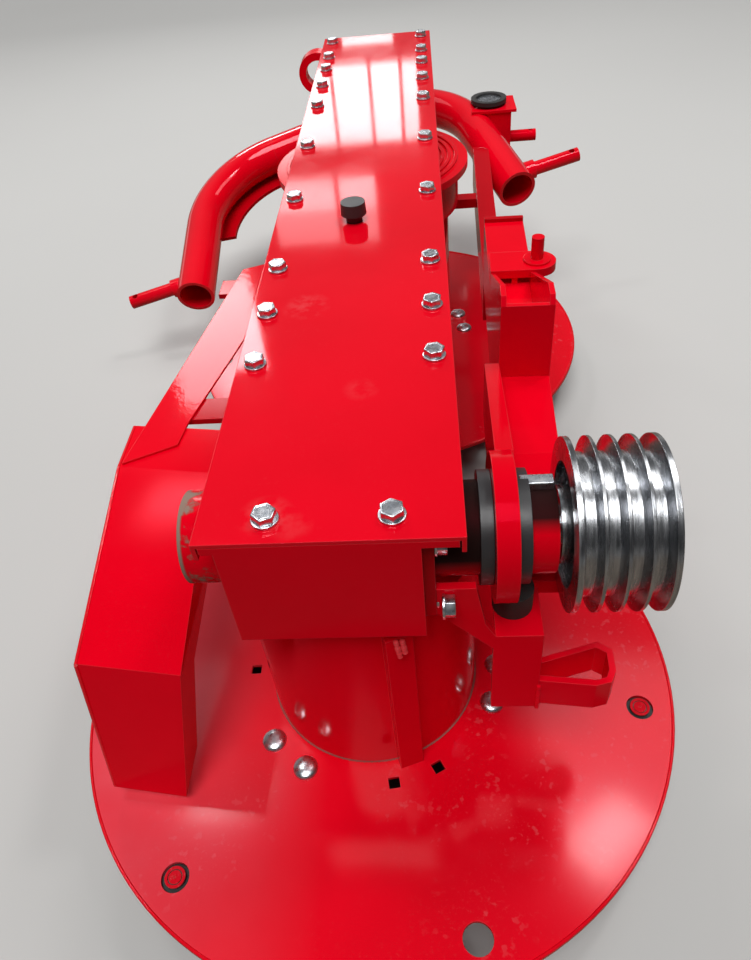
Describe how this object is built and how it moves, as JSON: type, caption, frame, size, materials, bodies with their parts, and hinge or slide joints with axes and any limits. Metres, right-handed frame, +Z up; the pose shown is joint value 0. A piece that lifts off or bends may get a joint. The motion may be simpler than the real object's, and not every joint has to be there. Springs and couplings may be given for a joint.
{
  "type": "tractor-mounted rotary drum mower with cutting discs",
  "caption": "Three-point hitch mower: a boxed beam carries drums with broad cutting discs, a belt pulley drive and a folding carrier with a bent hitch tube.",
  "frame": {"origin": "on the ground under the axis of the drum beside the belt pulley, at the centre of the underside of its gliding saucer", "axes": "+Z up, +Y along the beam from the pulley end towards the other drum, +X towards the belt pulley and the folded carrier"},
  "size_m": [0.9801, 1.7894, 0.556],
  "materials": {
    "red_paint": "gloss",
    "dark_red_paint": "satin",
    "black_paint": "satin",
    "bare_iron": "raw",
    "machined_steel": "turned",
    "knife_steel": "ground",
    "spring_steel": "dark oxide",
    "black_plastic": "matte",
    "black_rubber": "matte"
  },
  "bodies": {
    "beam_unit": {"beam": "red_paint", "beam_lid": "red_paint", "breather": "black_plastic", "input_housing": "red_paint", "bearing_plate": "dark_red_paint", "arm_bushing": "black_plastic", "stop_bracket": "red_paint", "stop_buffer": "black_rubber", "tie_eye": "red_paint", "far_gear_case": "red_paint", "spindle_near": "spring_steel", "spindle_far": "spring_steel", "guard_panel": "red_paint", "guard_strip": "red_paint", "guard_brackets": "dark_red_paint"},
    "near_rotor": {"drum_near": "red_paint", "disc_near": "red_paint", "knife_holders_near": "spring_steel", "knives_near": "knife_steel"},
    "near_glide": {"saucer_near": "black_paint"},
    "far_rotor": {"drum_far": "red_paint", "disc_far": "red_paint", "knife_holders_far": "spring_steel", "knives_far": "knife_steel"},
    "far_glide": {"saucer_far": "black_paint"},
    "drive_pulley": {"input_shaft": "machined_steel", "pulley": "machined_steel"},
    "carrier": {"eye_arm": "red_paint", "carrier_box": "red_paint", "carrier_channel": "red_paint", "box_end": "dark_red_paint", "lug_plate": "red_paint", "lock_pin": "red_paint", "carrier_tail": "dark_red_paint", "latch_bar": "dark_red_paint", "arch_left": "red_paint", "arch_bow": "red_paint", "arch_right": "red_paint", "arch_gusset": "dark_red_paint", "hitch_pins": "red_paint", "top_mast": "red_paint", "mast_ring": "black_rubber", "mast_pin": "red_paint", "drive_hub": "red_paint", "hub_plate": "dark_red_paint"}
  },
  "joints": [
    {"name": "near_rotor_spin", "type": "hinge", "parent": "beam_unit", "child": "near_rotor", "pos_m": [0, 0, 0.2], "axis": [0, 0, 1], "continuous": true},
    {"name": "far_rotor_spin", "type": "hinge", "parent": "beam_unit", "child": "far_rotor", "pos_m": [0, 0.788, 0.2], "axis": [0, 0, 1], "continuous": true},
    {"name": "near_glide_spin", "type": "hinge", "parent": "beam_unit", "child": "near_glide", "pos_m": [0, 0, 0.03], "axis": [0, 0, 1], "continuous": true},
    {"name": "far_glide_spin", "type": "hinge", "parent": "beam_unit", "child": "far_glide", "pos_m": [0, 0.788, 0.03], "axis": [0, 0, 1], "continuous": true},
    {"name": "pulley_spin", "type": "hinge", "parent": "beam_unit", "child": "drive_pulley", "pos_m": [0.245, -0.075, 0.461], "axis": [1, 0, 0], "continuous": true},
    {"name": "carrier_fold", "type": "hinge", "parent": "beam_unit", "child": "carrier", "pos_m": [0.148, -0.075, 0.461], "axis": [1, 0, 0], "range_deg": [0, 172]}
  ],
  "couplings": [
    {"joint": "far_rotor_spin", "follows": "near_rotor_spin", "ratio": -1},
    {"joint": "pulley_spin", "follows": "near_rotor_spin", "ratio": 0.55}
  ]
}
